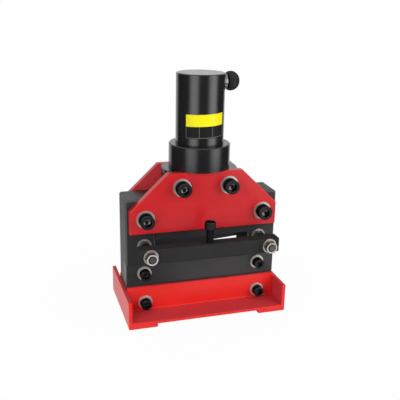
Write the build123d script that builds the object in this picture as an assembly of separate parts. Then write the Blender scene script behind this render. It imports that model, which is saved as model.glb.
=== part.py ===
"""Bench-standing hydraulic busbar cutter: a guillotine head between two columns.

Frame: origin on the floor under the middle of the outline, +X right, +Y to the rear, +Z up.
The operator stands on the -Y side. Lengths are in millimetres. The model is drawn about the
shear plane between the blades, and moves to the frame when it is written.
"""
from build123d import *
import math
import os

# Mouth and columns
MOUTH_W = 162.0
COLUMN_W = 49.0
COLUMN_D = 56.6
COLUMN_RISE = 16.1
COLUMN_CHAMFER = 2.5

# Sheet steel base
FOOT_T = 6.0
FOOT_W = 48.0
FOOT_CHAMFER = 2.0
WING_T = 6.0
WING_H = 47.7
BASE_D = 153.5
ANGLE_T = 5.0
ANGLE_H = 47.0
ANGLE_BEND_R = 2.0

# Lower jaw and the busbar it carries
JAW_EAR_H = 38.0
JAW_WEB_H = 76.0
JAW_LEAD_CHAMFER = 2.0
BUSBAR_T = 12.0
EDGE_CLEARANCE = 1.0

# Shear blades
BLADE_T = 12.0
LOWER_BLADE_H = 20.0
UPPER_BLADE_H = 57.0
BLADE_END_GAP = 3.0
LOWER_BLADE_END_GAP = 0.5
RAKE_DEG = 4.67
RELIEF_DEG = 12.0
BLADE_OVERLAP = 1.5
SHEAR_GAP = 0.3

# Ram block that carries the upper blade
RAM_H = 54.0
RAM_GUIDE_GAP = 0.3
RAM_BUSBAR_CLEARANCE = 2.0
RAM_BACKING_DROP = 8.0
RAM_CHAMFER = 2.0
ROD_STUD_R = 12.0
ROD_STUD_L = 18.0

# Side plates
PLATE_T = 11.5
PLATE_H = 98.2
PLATE_SIDE_H = 38.4
PLATE_INSET = 4.7
PLATE_TOP_MARGIN = 0.2
PLATE_EDGE = 0.8

# Cylinder head, collar and barrel
HEAD_GAP = 13.0
HEAD_H = 47.5
HEAD_R = 62.8
HEAD_EDGE_CHAMFER = 1.0
COLLAR_R = 50.6
COLLAR_H = 40.3
COLLAR_FLOOR = 6.0
COLLAR_CHAMFER = 1.5
BARREL_R = 39.5
BARREL_RISE = 113.1
BARREL_END_T = 26.4
BARREL_CHAMFER = 1.2
BORE_R = 31.0
THREAD_GAP = 0.05

# Piston, rod, guide and return spring
ROD_R = 18.0
RUNNING_GAP = 0.05
PISTON_H = 26.0
PISTON_END_GAP = 2.0
SEAL_W = 8.0
SEAL_DEPTH = 4.0
GLAND_R = 26.0
GLAND_L = 38.0
GLAND_FLANGE_H = 8.0
WIPER_W = 5.0
WIPER_H = 6.0
SPRING_WIRE_R = 2.75
SPRING_MEAN_R = 24.5
SPRING_TURNS = 8
SPRING_SEAT_GAP = 0.2
SPRING_SAMPLES = 24

# Hold-down bar
BAR_D = 21.0
BAR_H = 24.0
BAR_STANDOFF = 29.0
BAR_END_MARGIN = 18.0
BAR_CHAMFER = 1.0
STUD_RISE = 33.5
STUD_EMBED = 22.0
STUD_TIP = 1.0

# Clamp screw in the middle of the bar
SCREW_EXPOSED = 23.0
SCREW_TRAVEL_MARGIN = 0.5
TIP_BALL_R = 4.0
TIP_FLAT_H = 3.0
TIP_WRAP = 1.2
TIP_SEAT_GAP = 0.05

# Hydraulic coupler and its dust cap
COUPLER_DROP = 14.3
COUPLER_THREAD_R = 8.3
COUPLER_THREAD_L = 14.0
COUPLER_FLANGE_R = 12.8
COUPLER_FLANGE_L = 4.7
NOSE_R = 9.5
NOSE_L = 12.0
PORT_R = 3.0
CAP_R = 15.9
CAP_L = 20.3
CAP_RIM_GAP = 0.3
CAP_NOSE_GAP = 0.1
CAP_DOME_R = 14.5
CAP_RIM_R = 5.5
CAP_RIB_R = 1.1
CAP_RIB_DEPTH = 0.8
CAP_RIBS = 24

# Fasteners: nominal diameters, lengths of engagement and places
M8 = 8.0
M12 = 12.0
M16 = 16.0
M8_WALL = 6.5
M12_WASHER_R = 12.0
M12_WASHER_T = 2.5
M16_WASHER_R = 15.0
M16_WASHER_T = 3.0
HOLE_GAP = 0.5
BOLT_INSET = 19.0
BASE_ROW = 19.0
JAW_ROW_DROP = 15.3
PLATE_ROW = 25.4
HEAD_ROW_DROP = 23.9
HEAD_BOLT_X = 39.9
TAP_DEPTH = 18.0
BLADE_SCREW_PITCH = 52.0
BLADE_SCREW_TAP = 14.0
UPPER_SCREW_RISE = 16.0
COUNTERSINK_R = 7.5
COUNTERSINK_SINK = 0.4
NUT_TIP = 3.0

# Fastener proportions, each a share of the nominal diameter
SOCKET_HEAD_R = 0.75
SOCKET_HEAD_H = 1.0
SOCKET_FLATS = 0.8
SOCKET_DEPTH = 0.55
HEAD_EDGE = 0.08
SCREW_POINT = 0.1
FLUSH_FLATS = 0.62
FLUSH_DEPTH = 0.4
NUT_FLATS = 1.5
NUT_H = 0.83

# Places that follow from the sizes above
mouth_x = MOUTH_W / 2
column_x = mouth_x + COLUMN_W
column_y = COLUMN_D / 2
plate_y = column_y + PLATE_T
bolt_x = mouth_x + BOLT_INSET
foot_top = FOOT_T
leg_top = foot_top + ANGLE_H
leg_y = column_y + ANGLE_T
jaw_top = leg_top + JAW_EAR_H
jaw_back_y = -SHEAR_GAP / 2
upper_blade_y = SHEAR_GAP / 2
upper_blade_x = mouth_x - BLADE_END_GAP
edge_low = jaw_top + BUSBAR_T + EDGE_CLEARANCE
edge_rise = 2 * upper_blade_x * math.tan(math.radians(RAKE_DEG))
stroke = BUSBAR_T + EDGE_CLEARANCE + edge_rise + BLADE_OVERLAP
ram_bottom = jaw_top + BUSBAR_T + stroke + RAM_BUSBAR_CLEARANCE
ram_top = ram_bottom + RAM_H
blade_top = edge_low + UPPER_BLADE_H
head_bottom = ram_top + HEAD_GAP
head_top = head_bottom + HEAD_H
plate_bottom = head_top - PLATE_H
plate_shoulder = plate_bottom + PLATE_SIDE_H
column_top = plate_shoulder + COLUMN_RISE
base_row = foot_top + BASE_ROW
jaw_row = jaw_top - JAW_ROW_DROP
stud_row = jaw_top + STUD_RISE
plate_row = plate_bottom + PLATE_ROW
head_row = head_top - HEAD_ROW_DROP
collar_top = head_top + COLLAR_H
barrel_seat = head_top + COLLAR_FLOOR
barrel_top = collar_top + BARREL_RISE
chamber_top = barrel_top - BARREL_END_T
gland_top = barrel_seat + GLAND_FLANGE_H
gland_bottom = barrel_seat - GLAND_L
piston_top = chamber_top - PISTON_END_GAP
piston_bottom = piston_top - PISTON_H
blade_screws_x = (-BLADE_SCREW_PITCH, 0.0, BLADE_SCREW_PITCH)

nodes = {}


def across_x(points, x0, x1, rounds=()):
    """Solid from a (y, z) outline between two X planes; rounds lists (y, z, radius) corners."""
    face = make_face(Polyline(*points, close=True))
    for y, z, radius in rounds:
        face = fillet(min(face.vertices(), key=lambda v: math.hypot(v.X - y, v.Y - z)), radius)
    return Pos(x0, 0, 0) * extrude(Plane.YZ * face, amount=x1 - x0)


def across_y(points, y0, y1, rounds=()):
    """Solid from an (x, z) outline between two Y planes; rounds lists (x, z, radius) corners."""
    face = make_face(Polyline(*points, close=True))
    for x, z, radius in rounds:
        face = fillet(min(face.vertices(), key=lambda v: math.hypot(v.X - x, v.Y - z)), radius)
    return Pos(0, y1, 0) * extrude(Plane.XZ * face, amount=y1 - y0)


def block(x0, x1, y0, y1, z0, z1):
    """Box between three pairs of planes."""
    centre = Pos((x0 + x1) / 2, (y0 + y1) / 2, (z0 + z1) / 2)
    return centre * Box(x1 - x0, y1 - y0, z1 - z0)


def bore_y(radius, x, z, y0, y1):
    """Round bar along Y."""
    return Pos(x, (y0 + y1) / 2, z) * Rot(90, 0, 0) * Cylinder(radius, y1 - y0)


def bore_z(radius, x, y, z0, z1):
    """Round bar along Z."""
    return Pos(x, y, (z0 + z1) / 2) * Cylinder(radius, z1 - z0)


def turned(points):
    """Solid of revolution about Z from an (r, z) outline."""
    return revolve(Plane.XZ * make_face(Polyline(*points, close=True)), Axis.Z)


def ring(inner_r, outer_r, height):
    """Flat ring standing on its own origin."""
    base = (Align.CENTER, Align.CENTER, Align.MIN)
    return Cylinder(outer_r, height, align=base) - Cylinder(inner_r, height, align=base)


def hexagon(across_flats, height):
    """Hexagonal prism standing on its own origin."""
    return extrude(RegularPolygon(across_flats / 2, 6, major_radius=False), amount=height)


def cap_screw(diameter, length):
    """Socket head screw, head up, with its seat at the origin and its shank below."""
    head_r = SOCKET_HEAD_R * diameter
    head_h = SOCKET_HEAD_H * diameter
    edge = HEAD_EDGE * diameter
    head = turned([(0, 0), (head_r, 0), (head_r, head_h - edge), (head_r - edge, head_h), (0, head_h)])
    socket_depth = SOCKET_DEPTH * diameter
    socket = Pos(0, 0, head_h - socket_depth) * hexagon(SOCKET_FLATS * diameter, socket_depth)
    tip = SCREW_POINT * diameter
    shank_r = diameter / 2
    shank = turned([(0, 0), (shank_r, 0), (shank_r, tip - length), (shank_r - tip, -length), (0, -length)])
    return head + shank - socket


def flush_screw(diameter, length):
    """Countersunk socket screw, flat head up at the origin and its shank below."""
    shank_r = diameter / 2
    cone_h = COUNTERSINK_R - shank_r
    body = turned([(0, 0), (COUNTERSINK_R, 0), (shank_r, -cone_h), (shank_r, -length), (0, -length)])
    socket_depth = FLUSH_DEPTH * diameter
    return body - Pos(0, 0, -socket_depth) * hexagon(FLUSH_FLATS * diameter, socket_depth)


def hex_nut(diameter):
    """Hexagon nut standing on its own origin, with chamfered corners."""
    flats = NUT_FLATS * diameter
    height = NUT_H * diameter
    corner_r = flats / math.sqrt(3)
    edge = corner_r - flats / 2
    skirt = turned([(0, 0), (flats / 2, 0), (corner_r, edge / 2), (corner_r, height - edge / 2),
                    (flats / 2, height), (0, height)])
    return (hexagon(flats, height) & skirt) - bore_z(diameter / 2, 0, 0, -height, 2 * height)


def facing_front(shape, x, y, z):
    """Place a fastener with its head towards the operator."""
    return Pos(x, y, z) * Rot(90, 0, 0) * shape


def facing_rear(shape, x, y, z):
    """Place a fastener with its head towards the rear."""
    return Pos(x, y, z) * Rot(-90, 0, 0) * shape


def group(solids):
    """Separate solids kept together as one node."""
    return Compound(list(solids))


# Base: two end brackets, each a wing plate turned in at the bottom to make a foot.
wing_x = column_x + WING_T
foot_x = wing_x - FOOT_W
for side, name in ((-1, "base_end_left"), (1, "base_end_right")):
    bracket = [(side * foot_x, 0), (side * wing_x, 0), (side * wing_x, WING_H), (side * column_x, WING_H),
               (side * column_x, foot_top), (side * foot_x, foot_top)]
    nodes[name] = across_y(bracket, -BASE_D / 2, BASE_D / 2, [(side * wing_x, 0, FOOT_CHAMFER)])

# Base: front and rear angles folded from sheet, lying on the feet and gripping the columns.
for side, name in ((-1, "base_front_angle"), (1, "base_rear_angle")):
    floor_top = foot_top + ANGLE_T
    angle = [(side * BASE_D / 2, foot_top), (side * column_y, foot_top), (side * column_y, leg_top),
             (side * leg_y, leg_top), (side * leg_y, floor_top), (side * BASE_D / 2, floor_top)]
    bends = [(side * column_y, foot_top, ANGLE_BEND_R + ANGLE_T), (side * leg_y, floor_top, ANGLE_BEND_R)]
    sheet = across_x(angle, -column_x, column_x, bends)
    for x in (-bolt_x, bolt_x):
        sheet -= bore_y(M12 / 2 + HOLE_GAP, x, base_row, -BASE_D, BASE_D)
    nodes[name] = sheet

# Columns: square bars with a front notch that seats the ear of the lower jaw.
for side, name in ((-1, "column_left"), (1, "column_right")):
    x0, x1 = sorted((side * mouth_x, side * column_x))
    bar = block(x0, x1, -column_y, column_y, foot_top, column_top)
    bar = chamfer(bar.edges().filter_by(Axis.Z) + bar.faces().sort_by(Axis.Z)[-1].edges(), COLUMN_CHAMFER)
    bar -= block(x0, x1, -column_y, jaw_back_y, leg_top, jaw_top)
    bar -= bore_y(M16 / 2 + HOLE_GAP, side * bolt_x, plate_row, -column_y, column_y)
    bar -= bore_y(M12 / 2, side * bolt_x, jaw_row, jaw_back_y, jaw_back_y + TAP_DEPTH)
    bar -= bore_y(M12 / 2, side * bolt_x, stud_row, -column_y, -column_y + STUD_EMBED)
    bar -= bore_y(M12 / 2, side * bolt_x, base_row, -column_y, -column_y + TAP_DEPTH)
    bar -= bore_y(M12 / 2, side * bolt_x, base_row, column_y - TAP_DEPTH, column_y)
    nodes[name] = bar

# Lower jaw: a T whose ears sit in the column notches, with a rebate for the lower blade.
web_bottom = jaw_top - JAW_WEB_H
jaw_outline = [(-column_x, leg_top), (-mouth_x, leg_top), (-mouth_x, web_bottom), (mouth_x, web_bottom),
               (mouth_x, leg_top), (column_x, leg_top), (column_x, jaw_top), (-column_x, jaw_top)]
jaw = across_y(jaw_outline, -column_y, jaw_back_y)
lower_blade_x = mouth_x - LOWER_BLADE_END_GAP
lower_blade_y = jaw_back_y - BLADE_T
lower_blade_z = jaw_top - LOWER_BLADE_H
lower_screw_z = jaw_top - LOWER_BLADE_H / 2
lead = JAW_LEAD_CHAMFER
jaw -= across_x([(-column_y, jaw_top), (lead - column_y, jaw_top), (-column_y, jaw_top - lead)],
                -mouth_x, mouth_x)
jaw -= block(-lower_blade_x, lower_blade_x, lower_blade_y, jaw_back_y, lower_blade_z, jaw_top)
for x in (-bolt_x, bolt_x):
    jaw -= bore_y(M12 / 2 + HOLE_GAP, x, jaw_row, -column_y, jaw_back_y)
for x in blade_screws_x:
    jaw -= bore_y(M8 / 2, x, lower_screw_z, lower_blade_y - BLADE_SCREW_TAP, lower_blade_y)
nodes["lower_jaw"] = jaw

# Lower blade: a square-edged strip held from the rear by three flush screws.
lower_blade = block(-lower_blade_x, lower_blade_x, lower_blade_y, jaw_back_y, lower_blade_z, jaw_top)
lower_screws = []
for x in blade_screws_x:
    head_y = jaw_back_y - COUNTERSINK_SINK
    screw_l = BLADE_T - COUNTERSINK_SINK + BLADE_SCREW_TAP
    screw = facing_rear(flush_screw(M8, screw_l), x, head_y, lower_screw_z)
    seat = facing_rear(Cylinder(COUNTERSINK_R, 2 * COUNTERSINK_SINK), x, jaw_back_y, lower_screw_z)
    cone_h = COUNTERSINK_R - M8 / 2
    cone = turned([(0, 0), (COUNTERSINK_R, 0), (M8 / 2, -cone_h), (M8 / 2, -2 * BLADE_T), (0, -2 * BLADE_T)])
    lower_blade -= seat + facing_rear(cone, x, head_y, lower_screw_z)
    lower_screws.append(screw)
nodes["lower_blade"] = lower_blade
nodes["lower_blade_screws"] = group(lower_screws)

# Jaw screws: one socket head screw and washer through each ear into the column.
jaw_screw_l = M12_WASHER_T + jaw_back_y + column_y + TAP_DEPTH
nodes["jaw_washers"] = group(
    facing_front(ring(M12 / 2 + HOLE_GAP, M12_WASHER_R, M12_WASHER_T), x, -column_y, jaw_row)
    for x in (-bolt_x, bolt_x))
nodes["jaw_screws"] = group(
    facing_front(cap_screw(M12, jaw_screw_l), x, -column_y - M12_WASHER_T, jaw_row)
    for x in (-bolt_x, bolt_x))

# Base screws: four, through the front and rear angles into the feet of the columns.
base_screw_l = M12_WASHER_T + ANGLE_T + TAP_DEPTH
base_washer = ring(M12 / 2 + HOLE_GAP, M12_WASHER_R, M12_WASHER_T)
base_screw = cap_screw(M12, base_screw_l)
washers, screws = [], []
for x in (-bolt_x, bolt_x):
    washers += [facing_front(base_washer, x, -leg_y, base_row), facing_rear(base_washer, x, leg_y, base_row)]
    screws += [facing_front(base_screw, x, -leg_y - M12_WASHER_T, base_row),
               facing_rear(base_screw, x, leg_y + M12_WASHER_T, base_row)]
nodes["base_washers"] = group(washers)
nodes["base_screws"] = group(screws)

# Side plates: front and rear trapezoids that tie the columns to the cylinder head.
plate_x = column_x - PLATE_INSET
plate_top_x = HEAD_R + PLATE_TOP_MARGIN
frame_bolts_xz = [(-bolt_x, plate_row), (bolt_x, plate_row),
                  (-HEAD_BOLT_X, head_row), (HEAD_BOLT_X, head_row)]
plate_outline = [(-plate_x, plate_bottom), (plate_x, plate_bottom), (plate_x, plate_shoulder),
                 (plate_top_x, head_top), (-plate_top_x, head_top), (-plate_x, plate_shoulder)]
for name, y0, y1 in (("front_plate", -plate_y, -column_y), ("rear_plate", column_y, plate_y)):
    plate = across_y(plate_outline, y0, y1)
    outer_face = max(plate.faces().filter_by(Axis.Y), key=lambda face: abs(face.center().Y))
    plate = chamfer(outer_face.edges(), PLATE_EDGE)
    for x, z in frame_bolts_xz:
        plate -= bore_y(M16 / 2 + HOLE_GAP, x, z, y0, y1)
    nodes[name] = plate

# Frame bolts: four long screws right through, with washers under heads and nuts.
frame_nut = hex_nut(M16)
frame_washer = ring(M16 / 2 + HOLE_GAP, M16_WASHER_R, M16_WASHER_T)
nut_y = plate_y + M16_WASHER_T
frame_bolt = cap_screw(M16, 2 * nut_y + NUT_H * M16 + NUT_TIP)
bolts, nuts, washers = [], [], []
for x, z in frame_bolts_xz:
    bolts.append(facing_front(frame_bolt, x, -nut_y, z))
    nuts.append(facing_rear(frame_nut, x, nut_y, z))
    washers += [facing_front(frame_washer, x, -plate_y, z), facing_rear(frame_washer, x, plate_y, z)]
nodes["frame_bolts"] = group(bolts)
nodes["frame_nuts"] = group(nuts)
nodes["frame_washers"] = group(washers)

# Cylinder head: a turned disc with two flats, gripped between the plates.
disc = chamfer(bore_z(HEAD_R, 0, 0, head_bottom, head_top).edges(), HEAD_EDGE_CHAMFER)
head = disc & block(-HEAD_R, HEAD_R, -column_y, column_y, head_bottom, head_top)
head -= bore_z(GLAND_R, 0, 0, gland_bottom, head_top)
head -= bore_z(ROD_R + RAM_GUIDE_GAP, 0, 0, head_bottom, gland_bottom)
head -= bore_z(ROD_R + WIPER_W, 0, 0, head_bottom, head_bottom + WIPER_H)
for x in (-HEAD_BOLT_X, HEAD_BOLT_X):
    head -= bore_y(M16 / 2 + HOLE_GAP, x, head_row, -column_y, column_y)
nodes["cylinder_head"] = head

# Collar: a cup that the barrel screws into, seated on the head and the plates' top edges.
collar_in = BARREL_R + THREAD_GAP
nodes["collar"] = turned([
    (GLAND_R, head_top), (COLLAR_R, head_top), (COLLAR_R, collar_top - COLLAR_CHAMFER),
    (COLLAR_R - COLLAR_CHAMFER, collar_top), (collar_in, collar_top), (collar_in, barrel_seat),
    (GLAND_R, barrel_seat)])

# Barrel: closed at the top and screwed into the collar.
coupler_z = barrel_top - COUPLER_DROP
barrel = turned([(0, chamber_top), (BORE_R, chamber_top), (BORE_R, barrel_seat), (BARREL_R, barrel_seat),
                 (BARREL_R, barrel_top - BARREL_CHAMFER), (BARREL_R - BARREL_CHAMFER, barrel_top),
                 (0, barrel_top)])
spotface_x = math.sqrt(BARREL_R ** 2 - COUPLER_FLANGE_R ** 2)
thread_x = spotface_x - COUPLER_THREAD_L
along_x = Pos(0, 0, coupler_z) * Rot(0, 90, 0)
barrel -= along_x * bore_z(COUPLER_FLANGE_R, 0, 0, spotface_x, BARREL_R + COUPLER_FLANGE_L)
barrel -= along_x * bore_z(COUPLER_THREAD_R, 0, 0, thread_x, spotface_x)
barrel -= along_x * bore_z(PORT_R, 0, 0, -PORT_R, thread_x)
barrel -= bore_z(PORT_R, 0, 0, chamber_top, coupler_z)
nodes["barrel"] = barrel

# Gland: bronze rod guide screwed through the collar's floor into the head, which holds them together;
# its flange seats the return spring, and a wiper sits below it.
gland_in = ROD_R + RUNNING_GAP
gland_flange_r = BORE_R - RUNNING_GAP
nodes["gland_bush"] = turned([(gland_in, gland_bottom), (GLAND_R, gland_bottom), (GLAND_R, barrel_seat),
                              (gland_flange_r, barrel_seat), (gland_flange_r, gland_top),
                              (gland_in, gland_top)])
nodes["rod_wiper"] = Pos(0, 0, head_bottom) * ring(ROD_R + RUNNING_GAP, ROD_R + WIPER_W, WIPER_H)

# Piston and rod: one turned piece, threaded into the ram block, with a seal round the piston.
piston_r = BORE_R - RUNNING_GAP
seal_bottom = (piston_top + piston_bottom - SEAL_W) / 2
seal_in = piston_r - SEAL_DEPTH
stud_end = ram_top - ROD_STUD_L
nodes["piston_rod"] = turned([(0, stud_end), (ROD_STUD_R, stud_end), (ROD_STUD_R, ram_top), (ROD_R, ram_top),
                              (ROD_R, piston_bottom), (piston_r, piston_bottom), (piston_r, seal_bottom),
                              (seal_in, seal_bottom), (seal_in, seal_bottom + SEAL_W),
                              (piston_r, seal_bottom + SEAL_W), (piston_r, piston_top), (0, piston_top)])
nodes["piston_seal"] = Pos(0, 0, seal_bottom) * ring(seal_in, piston_r, SEAL_W)


def helix_point(turn, bottom, pitch):
    """Point and unit tangent on the spring's centre line."""
    angle = 2 * math.pi * turn
    slope = pitch / (2 * math.pi)
    point = Vector(SPRING_MEAN_R * math.cos(angle), SPRING_MEAN_R * math.sin(angle), bottom + pitch * turn)
    tangent = Vector(-SPRING_MEAN_R * math.sin(angle), SPRING_MEAN_R * math.cos(angle), slope)
    return point, tangent.normalized()


def biarc(start, start_way, end, end_way):
    """Two arcs that join two points and leave and arrive along the given directions."""
    span = end - start
    ways = start_way + end_way
    spread = 2 * (1 - start_way.dot(end_way))
    reach = (math.sqrt(span.dot(ways) ** 2 + spread * span.dot(span)) - span.dot(ways)) / spread
    near = start + start_way * reach
    far = end - end_way * reach
    middle = (near + far) / 2
    return [TangentArc(start, middle, tangent=start_way), TangentArc(middle, end, tangent=far - near)]


# Return spring: round the rod, between the gland's flange and the piston.
coil_bottom = gland_top + SPRING_SEAT_GAP + SPRING_WIRE_R
coil_top = piston_bottom - SPRING_SEAT_GAP - SPRING_WIRE_R
coil_pitch = (coil_top - coil_bottom) / SPRING_TURNS
stations = [helix_point(quarter / 4, coil_bottom, coil_pitch) for quarter in range(4 * SPRING_TURNS + 1)]
arcs = []
for (point, way), (next_point, next_way) in zip(stations, stations[1:]):
    arcs += biarc(point, way, next_point, next_way)
wire_section = Plane(origin=stations[0][0], z_dir=stations[0][1]) * Circle(SPRING_WIRE_R)
nodes["return_spring"] = sweep(wire_section, path=Wire(arcs))
trace = [helix_point(step / SPRING_SAMPLES, coil_bottom, coil_pitch)[0]
         for step in range(SPRING_SAMPLES * SPRING_TURNS + 1)]
least_gap = min((first - second).length for place, first in enumerate(trace)
                for second in trace[place + SPRING_SAMPLES // 2:]) - 2 * SPRING_WIRE_R
print("return spring least gap between turns: %.2f mm" % least_gap)

# Ram block: slides between columns and plates; its rear half drops behind the blade to back it.
ram_x = mouth_x - RAM_GUIDE_GAP
ram_y = column_y - RAM_GUIDE_GAP
blade_back_y = upper_blade_y + BLADE_T
backing_bottom = ram_bottom - RAM_BACKING_DROP
ram_outline = [(-ram_y, ram_bottom), (upper_blade_y, ram_bottom), (upper_blade_y, blade_top),
               (blade_back_y, blade_top), (blade_back_y, backing_bottom), (ram_y, backing_bottom),
               (ram_y, ram_top), (-ram_y, ram_top)]
ram = across_x(ram_outline, -ram_x, ram_x)
ram = chamfer(ram.faces().sort_by(Axis.Z)[-1].edges(), RAM_CHAMFER)
ram -= bore_z(ROD_STUD_R, 0, 0, stud_end, ram_top)
upper_screw_z = backing_bottom + UPPER_SCREW_RISE
screw_seat_y = blade_back_y + M8_WALL
for x in blade_screws_x:
    ram -= bore_y(M8 / 2 + HOLE_GAP, x, upper_screw_z, blade_back_y, ram_y)
    ram -= bore_y(SOCKET_HEAD_R * M8 + HOLE_GAP, x, upper_screw_z, screw_seat_y, ram_y)
nodes["ram_block"] = ram

# Upper blade: raked cutting edge, relieved behind, tapped for three screws from the rear.
edge_high = edge_low + edge_rise
upper_blade = across_y([(-upper_blade_x, edge_low), (upper_blade_x, edge_high), (upper_blade_x, blade_top),
                        (-upper_blade_x, blade_top)], upper_blade_y, blade_back_y)
relief_rise = BLADE_T * math.tan(math.radians(RELIEF_DEG))
relief = across_x([(upper_blade_y, 0), (blade_back_y, relief_rise), (blade_back_y, -2 * relief_rise),
                   (upper_blade_y, -2 * relief_rise)], -2 * upper_blade_x, 2 * upper_blade_x)
upper_blade -= Pos(0, 0, (edge_low + edge_high) / 2) * Rot(0, -RAKE_DEG, 0) * relief
for x in blade_screws_x:
    upper_blade -= bore_y(M8 / 2, x, upper_screw_z, upper_blade_y, blade_back_y)
nodes["upper_blade"] = upper_blade
upper_screw_l = screw_seat_y - upper_blade_y - COUNTERSINK_SINK
nodes["upper_blade_screws"] = group(
    facing_rear(cap_screw(M8, upper_screw_l), x, screw_seat_y, upper_screw_z) for x in blade_screws_x)

# Hold-down bar: stands off in front of the columns on two studs.
bar_x = bolt_x + BAR_END_MARGIN
bar_back = -column_y - BAR_STANDOFF
bar_front = bar_back - BAR_D
bar_mid_y = (bar_back + bar_front) / 2
bar_bottom = stud_row - BAR_H / 2
bar_top = stud_row + BAR_H / 2
hold_bar = block(-bar_x, bar_x, bar_front, bar_back, bar_bottom, bar_top)
hold_bar = chamfer(hold_bar.edges(), BAR_CHAMFER)
for x in (-bolt_x, bolt_x):
    hold_bar -= bore_y(M12 / 2 + HOLE_GAP, x, stud_row, bar_front, bar_back)
hold_bar -= bore_z(M12 / 2 + RUNNING_GAP, 0, bar_mid_y, bar_bottom, bar_top)
nodes["hold_down_bar"] = hold_bar

# Studs with their nuts and washers: a nut locks each stud to its column, two more grip the bar.
m12_nut = hex_nut(M12)
m12_nut_h = NUT_H * M12
m12_washer = ring(M12 / 2 + HOLE_GAP, M12_WASHER_R, M12_WASHER_T)
stud_front = bar_front - M12_WASHER_T - m12_nut_h - STUD_TIP
studs, lock_nuts, nuts, washers = [], [], [], []
for x in (-bolt_x, bolt_x):
    studs.append(bore_y(M12 / 2, x, stud_row, stud_front, -column_y + STUD_EMBED))
    lock_nuts.append(facing_front(m12_nut, x, -column_y - M12_WASHER_T, stud_row))
    nuts += [facing_front(m12_nut, x, bar_back + m12_nut_h, stud_row),
             facing_front(m12_nut, x, bar_front - M12_WASHER_T, stud_row)]
    washers += [facing_front(m12_washer, x, -column_y, stud_row),
                facing_front(m12_washer, x, bar_front, stud_row)]
nodes["hold_down_studs"] = group(studs)
nodes["stud_lock_nuts"] = group(lock_nuts)
nodes["bar_nuts"] = group(nuts)
nodes["stud_washers"] = group(washers)

# Clamp screw: threaded down through the bar, ending on a flat-faced thrust ball.
screw_seat = bar_top + SCREW_EXPOSED
ball_z = bar_bottom + TIP_FLAT_H
socket_r = TIP_BALL_R + TIP_SEAT_GAP
shank_end = ball_z - TIP_WRAP
clamp_screw = Pos(0, bar_mid_y, screw_seat) * cap_screw(M12, screw_seat - shank_end)
nodes["clamp_screw"] = clamp_screw - Pos(0, bar_mid_y, ball_z) * Sphere(socket_r)
ball = Pos(0, bar_mid_y, ball_z) * Sphere(TIP_BALL_R)
nodes["clamp_tip"] = ball - bore_z(2 * TIP_BALL_R, 0, bar_mid_y, bar_bottom - 2 * TIP_BALL_R, bar_bottom)
clamp_travel = SCREW_EXPOSED - SCREW_TRAVEL_MARGIN

# Coupler: screwed into the barrel's side just under its closed end, nose to the right.
flange_x = BARREL_R + COUPLER_FLANGE_L
nose_x = flange_x + NOSE_L
nodes["coupler"] = along_x * turned([
    (PORT_R, thread_x), (COUPLER_THREAD_R, thread_x), (COUPLER_THREAD_R, spotface_x),
    (COUPLER_FLANGE_R, spotface_x), (COUPLER_FLANGE_R, flange_x), (NOSE_R, flange_x), (NOSE_R, nose_x),
    (PORT_R, nose_x)])

# Dust cap: rubber cap pushed over the coupler's nose, with a domed end, a round rim and ribs for grip.
cap_start = flange_x + CAP_RIM_GAP
cap_end = cap_start + CAP_L
cap_floor = nose_x + CAP_RIM_GAP
cap_in = NOSE_R + CAP_NOSE_GAP
cap_face = make_face(Polyline((cap_in, cap_start), (CAP_R, cap_start), (CAP_R, cap_end), (0, cap_end),
                              (0, cap_floor), (cap_in, cap_floor), close=True))
dome_corner = min(cap_face.vertices(), key=lambda v: math.hypot(v.X - CAP_R, v.Y - cap_end))
cap_face = fillet(dome_corner, CAP_DOME_R)
rim_corner = min(cap_face.vertices(), key=lambda v: math.hypot(v.X - CAP_R, v.Y - cap_start))
cap = revolve(Plane.XZ * fillet(rim_corner, CAP_RIM_R), Axis.Z)
groove = bore_z(CAP_RIB_R, CAP_R + CAP_RIB_R - CAP_RIB_DEPTH, 0, cap_start, cap_end)
cap -= [Rot(0, 0, 360 * rib / CAP_RIBS) * groove for rib in range(CAP_RIBS)]
nodes["dust_cap"] = along_x * cap

# The stud ends reach furthest forward and the base furthest back, which gives the frame's place.
frame_y = -(stud_front + BASE_D / 2) / 2
os.makedirs("parts", exist_ok=True)
for name, shape in nodes.items():
    export_step(Pos(0, frame_y, 0) * shape, "parts/%s.step" % name)
print("nodes: %d" % len(nodes))
print("ram stroke: %.2f mm, clamp travel: %.2f mm" % (stroke, clamp_travel))
print("plate bottom %.1f, head top %.1f, barrel top %.1f" % (plate_bottom, head_top, barrel_top))
print("spring foot at %.2f, coupler axis at %.2f" % (gland_top + SPRING_SEAT_GAP, coupler_z))
print("shear plane at y %.2f, screw axis at y %.2f" % (frame_y, frame_y + bar_mid_y))
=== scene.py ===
import math

import bmesh
import bpy
from mathutils import Matrix, Vector


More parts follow.
